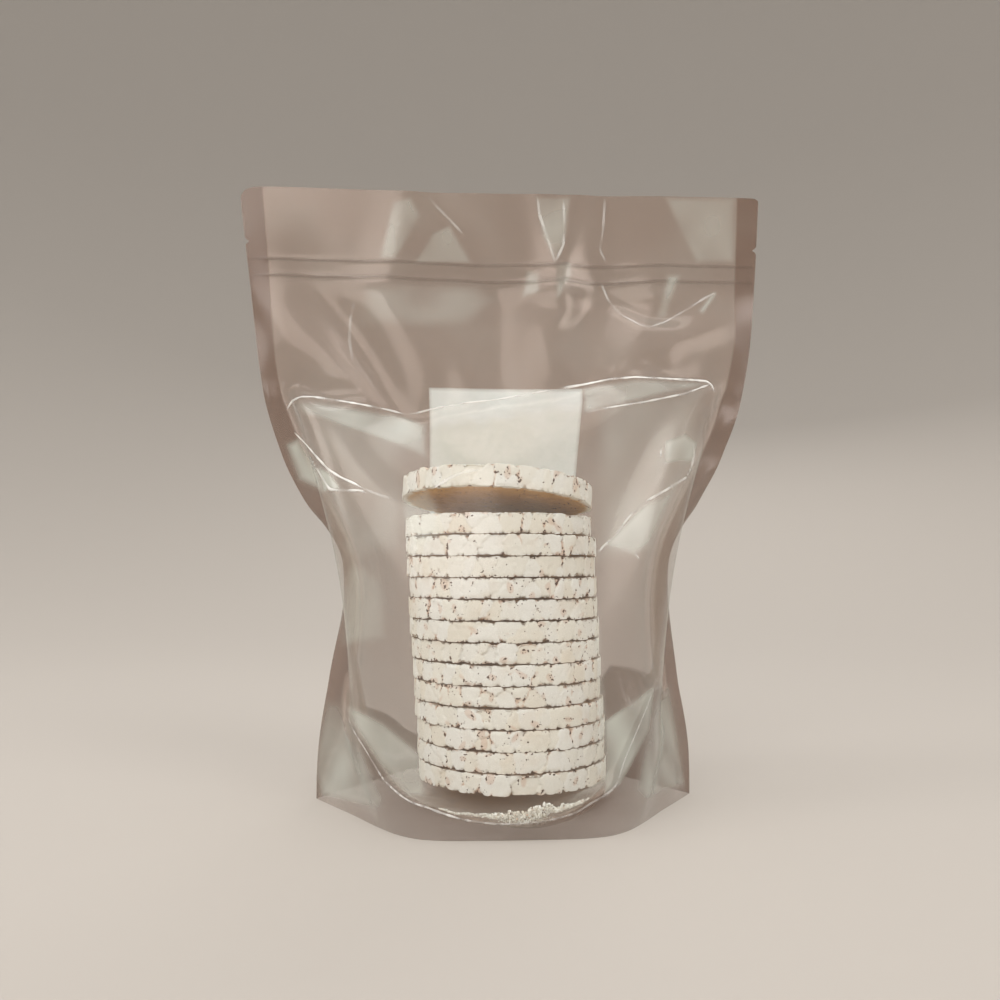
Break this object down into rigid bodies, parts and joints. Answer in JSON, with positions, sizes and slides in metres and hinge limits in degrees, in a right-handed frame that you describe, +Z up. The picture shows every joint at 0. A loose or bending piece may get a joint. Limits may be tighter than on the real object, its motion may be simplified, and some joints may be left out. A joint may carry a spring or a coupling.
{
  "type": "pouch of rice crackers",
  "caption": "Clear stand-up zip pouch, sealed and standing, that holds a stack of round puffed rice crackers, with a plain paper label on its back.",
  "frame": {"origin": "middle of the base, on the surface the pouch stands on", "axes": "+Z up along the pouch's height, -Y towards the front film, +Y towards the labelled back, X across the width"},
  "size_m": [0.2493, 0.1394, 0.29],
  "materials": {
    "clear_film": "clear glossy film",
    "label_paper": "plain matt paper"
  },
  "bodies": {
    "root": {"pouch": "clear_film", "back_label": "label_paper"}
  },
  "joints": []
}
